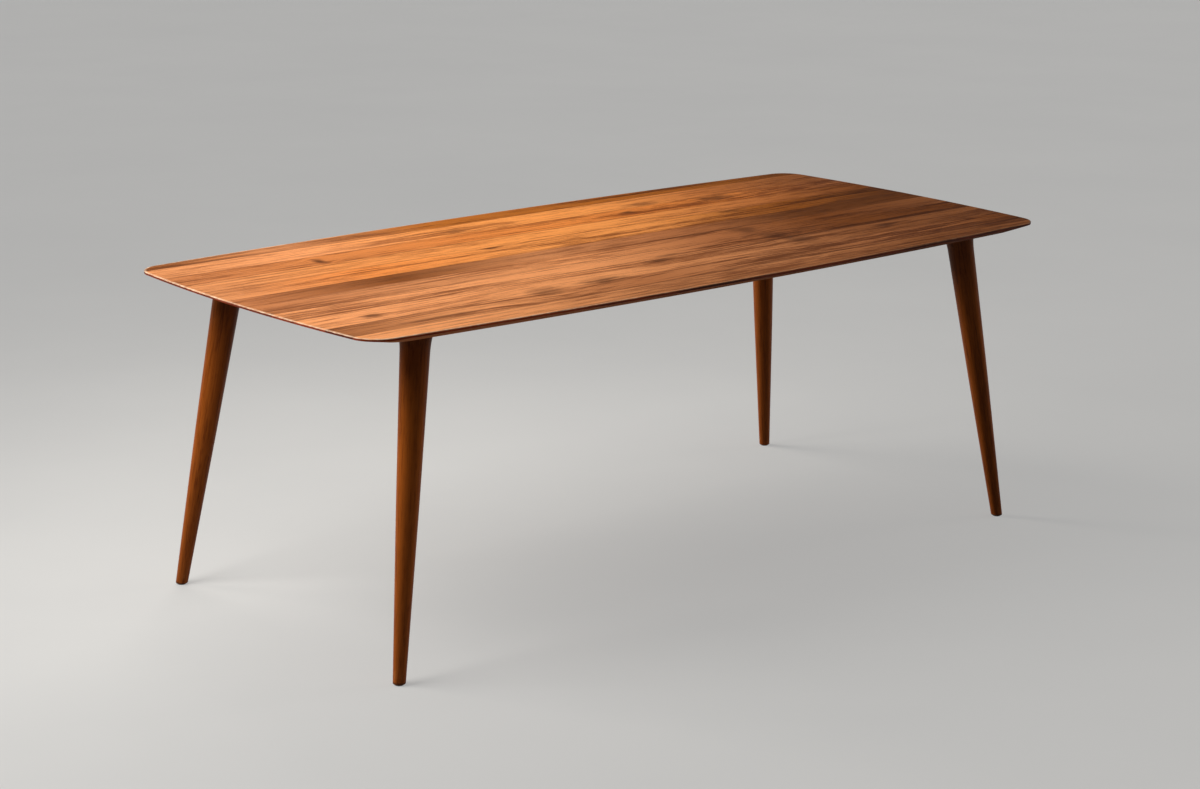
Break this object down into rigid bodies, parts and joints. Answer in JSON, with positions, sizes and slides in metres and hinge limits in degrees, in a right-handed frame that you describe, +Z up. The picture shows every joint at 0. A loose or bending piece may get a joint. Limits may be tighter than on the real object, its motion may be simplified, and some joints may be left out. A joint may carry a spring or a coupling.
{
  "type": "dining table",
  "caption": "Dining table: thin undercut top of edge-glued staves with bowed sides and round corners, on round tapered legs that splay outwards near its corners.",
  "frame": {"origin": "on the floor, under the middle of the top", "axes": "+X along the length, +Z up, the front long side towards -Y"},
  "size_m": [2.08, 0.95, 0.75],
  "materials": {
    "top_wood": "satin lacquer",
    "leg_wood": "satin lacquer",
    "tenon_wood": "bare",
    "black_steel": "satin powder coat",
    "zinc_steel": "zinc plated",
    "insert_brass": "machined",
    "pad_nylon": "moulded"
  },
  "bodies": {
    "root": {"top_stave_1": "top_wood", "top_stave_2": "top_wood", "top_stave_3": "top_wood", "top_stave_4": "top_wood", "top_stave_5": "top_wood", "top_stave_6": "top_wood", "top_stave_7": "top_wood", "top_stave_8": "top_wood", "top_stave_9": "top_wood", "top_stave_10": "top_wood", "top_stave_11": "top_wood", "edge_joint_tenons": "tenon_wood", "front_left_leg": "leg_wood", "front_right_leg": "leg_wood", "back_left_leg": "leg_wood", "back_right_leg": "leg_wood", "front_left_leg_plate": "black_steel", "front_right_leg_plate": "black_steel", "back_left_leg_plate": "black_steel", "back_right_leg_plate": "black_steel", "front_left_foot_pad": "pad_nylon", "front_right_foot_pad": "pad_nylon", "back_left_foot_pad": "pad_nylon", "back_right_foot_pad": "pad_nylon", "left_stiffener_channel": "black_steel", "middle_stiffener_channel": "black_steel", "right_stiffener_channel": "black_steel", "plate_screws": "zinc_steel", "leg_bolts": "zinc_steel", "leg_pins": "zinc_steel", "channel_screws": "zinc_steel", "channel_washers": "zinc_steel", "plate_inserts": "insert_brass", "leg_inserts": "insert_brass", "channel_inserts": "insert_brass"}
  },
  "joints": []
}
